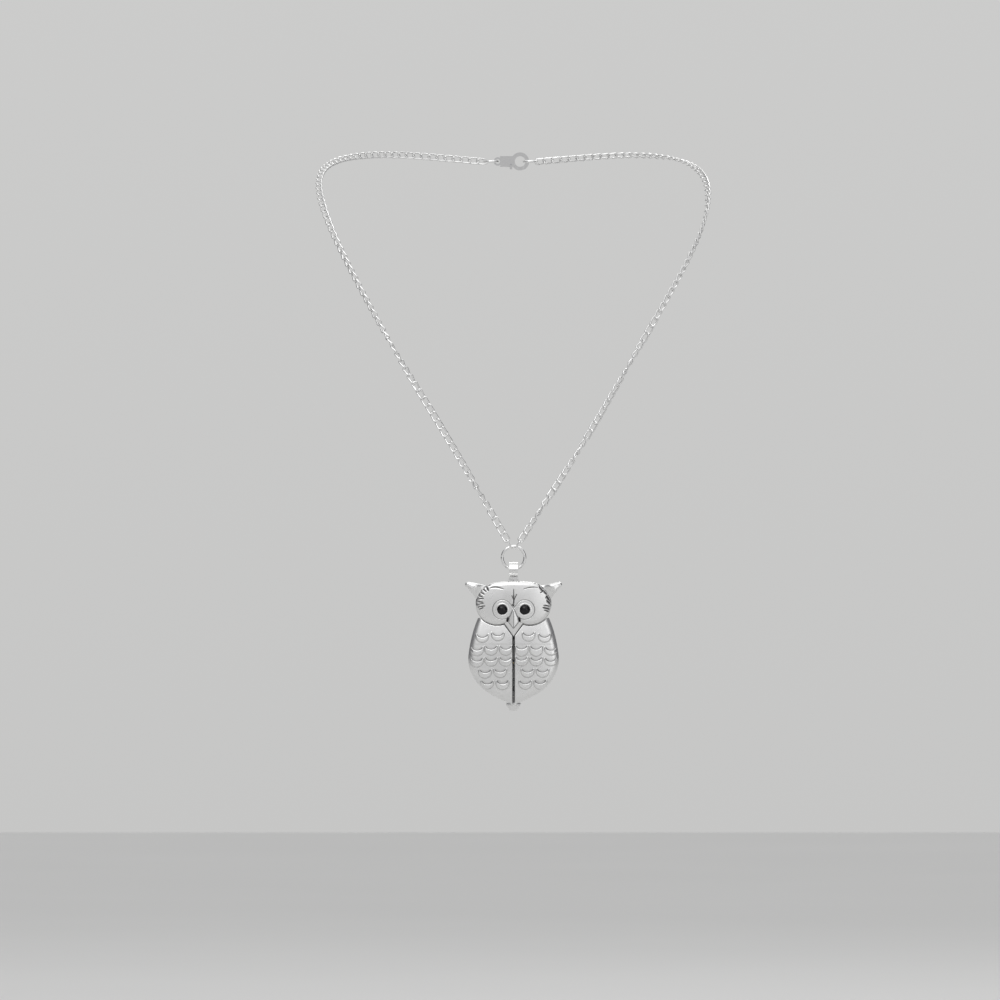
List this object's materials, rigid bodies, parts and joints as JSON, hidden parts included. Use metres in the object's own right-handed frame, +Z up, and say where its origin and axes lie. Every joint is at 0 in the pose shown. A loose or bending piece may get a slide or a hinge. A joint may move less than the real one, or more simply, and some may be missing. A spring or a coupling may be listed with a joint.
{
  "type": "pendant watch",
  "caption": "Owl-shaped pendant watch on a curb chain necklace, with wing covers that swing aside to show the dial and a crown at the bottom.",
  "frame": {"origin": "middle of the chain's clasp, where the chain lies on the nape of the neck", "axes": "+Z up as worn, +X to the right of someone who looks at the dial, the front faces -Y"},
  "size_m": [0.1244, 0.0947, 0.1763],
  "materials": {
    "satin_silver": "pearl silver plating over a casting, satin",
    "bright_silver": "bright silver plating",
    "steel": "fine brushed",
    "eye_black": "polished black",
    "crystal": "clear polished",
    "dial_white": "pearl white lacquer",
    "marker_black": "black lacquer",
    "hand_black": "black gloss lacquer",
    "seal_black": "matt",
    "movement_plastic": "moulded",
    "brass": "machined",
    "copper_wire": "enamelled winding wire",
    "board_green": "solder resist"
  },
  "bodies": {
    "chain": {"chain_end_links": "bright_silver", "chain_left_front": "bright_silver", "chain_left_back": "bright_silver", "chain_right_front": "bright_silver", "chain_right_back": "bright_silver", "clasp_body": "bright_silver", "clasp_pin": "steel", "clasp_spring": "steel", "clasp_ring": "bright_silver", "catch_ring": "bright_silver"},
    "clasp_gate": {"clasp_lever": "bright_silver"},
    "ring": {"jump_ring": "bright_silver"},
    "left_cover": {"left_wing": "satin_silver"},
    "right_cover": {"right_wing": "satin_silver"},
    "crown_slider": {"crown_seal": "seal_black"},
    "crown_and_stem": {"crown": "satin_silver", "stem": "steel", "sliding_pinion": "steel"},
    "setting_lever_body": {"setting_lever": "steel"},
    "seconds": {"second_wheel": "brass", "second_hand": "hand_black"},
    "third": {"third_wheel": "brass"},
    "minutes": {"centre_wheel": "brass", "minute_hand": "hand_black"},
    "minute_works": {"minute_wheel": "brass"},
    "hours": {"hour_wheel": "brass", "hour_hand": "hand_black"},
    "fifth": {"fifth_wheel": "brass"},
    "rotor_body": {"rotor": "steel"},
    "watch": {"case_body": "satin_silver", "case_back": "steel", "back_gasket": "seal_black", "head_cover": "satin_silver", "left_eye_stone": "eye_black", "right_eye_stone": "eye_black", "left_wing_pin": "steel", "right_wing_pin": "steel", "left_wing_washer": "brass", "right_wing_washer": "brass", "crystal": "crystal", "crystal_gasket": "movement_plastic", "hanging_loop": "satin_silver", "dial": "dial_white", "hour_markers": "marker_black", "movement_holder": "movement_plastic", "main_plate": "movement_plastic", "train_bridge": "movement_plastic", "movement_screws": "steel", "button_cell": "steel", "cell_clamp": "steel", "circuit_board": "board_green", "quartz_can": "steel", "coil": "copper_wire", "stator": "steel", "crown_tube": "steel"}
  },
  "joints": [
    {"name": "ring_swing", "type": "hinge", "parent": "chain", "child": "ring", "pos_m": [0, -0.0861, -0.1224], "axis": [1, 0, 0], "range_deg": [-60, 60]},
    {"name": "pendant_swing", "type": "hinge", "parent": "ring", "child": "watch", "pos_m": [0, -0.0861, -0.1294], "axis": [1, 0, 0], "range_deg": [-80, 80]},
    {"name": "left_wing_open", "type": "hinge", "parent": "watch", "child": "left_cover", "pos_m": [-0.00515, -0.088, -0.1401], "axis": [0, 1, 0], "range_deg": [0, 48]},
    {"name": "right_wing_open", "type": "hinge", "parent": "watch", "child": "right_cover", "pos_m": [0.00515, -0.088, -0.1401], "axis": [0, -1, 0], "range_deg": [0, 48]},
    {"name": "crown_pull", "type": "slide", "parent": "watch", "child": "crown_slider", "axis": [0, 0, -1], "range_m": [0, 0.0008]},
    {"name": "crown_turn", "type": "hinge", "parent": "crown_slider", "child": "crown_and_stem", "pos_m": [0, -0.0836, -0.1715], "axis": [0, 0, -1], "continuous": true},
    {"name": "setting_lever_turn", "type": "hinge", "parent": "watch", "child": "setting_lever_body", "pos_m": [0.0017, -0.083, -0.1651], "axis": [0, 1, 0], "range_deg": [-28.5, 0]},
    {"name": "second_spin", "type": "hinge", "parent": "watch", "child": "seconds", "pos_m": [0, -0.0835, -0.1585], "axis": [0, 1, 0], "continuous": true},
    {"name": "third_spin", "type": "hinge", "parent": "watch", "child": "third", "pos_m": [0.0023, -0.0835, -0.15766], "axis": [0, 1, 0], "continuous": true},
    {"name": "minute_spin", "type": "hinge", "parent": "watch", "child": "minutes", "pos_m": [0, -0.0835, -0.1585], "axis": [0, 1, 0], "continuous": true},
    {"name": "minute_works_spin", "type": "hinge", "parent": "watch", "child": "minute_works", "pos_m": [0, -0.0835, -0.1603], "axis": [0, 1, 0], "continuous": true},
    {"name": "hour_spin", "type": "hinge", "parent": "watch", "child": "hours", "pos_m": [0, -0.0835, -0.1585], "axis": [0, 1, 0], "continuous": true},
    {"name": "fifth_spin", "type": "hinge", "parent": "watch", "child": "fifth", "pos_m": [-0.00063, -0.0835, -0.15613], "axis": [0, 1, 0], "continuous": true},
    {"name": "rotor_spin", "type": "hinge", "parent": "watch", "child": "rotor_body", "pos_m": [0.00051, -0.0835, -0.15499], "axis": [0, 1, 0], "continuous": true},
    {"name": "clasp_gate_open", "type": "hinge", "parent": "chain", "child": "clasp_gate", "pos_m": [-0.0007, 0, -0.001], "axis": [0, -1, 0], "range_deg": [0, 15], "stiffness_Nm_per_rad": 0.002, "springref_deg": -11.46}
  ],
  "couplings": [
    {"joint": "third_spin", "follows": "second_spin", "ratio": -0.13333},
    {"joint": "minute_spin", "follows": "second_spin", "ratio": 0.016667},
    {"joint": "minute_works_spin", "follows": "second_spin", "ratio": -0.0055556},
    {"joint": "hour_spin", "follows": "second_spin", "ratio": 0.0013889},
    {"joint": "fifth_spin", "follows": "second_spin", "ratio": -6},
    {"joint": "rotor_spin", "follows": "second_spin", "ratio": 30},
    {"joint": "setting_lever_turn", "follows": "crown_pull", "rad_per_m": -612.4}
  ]
}
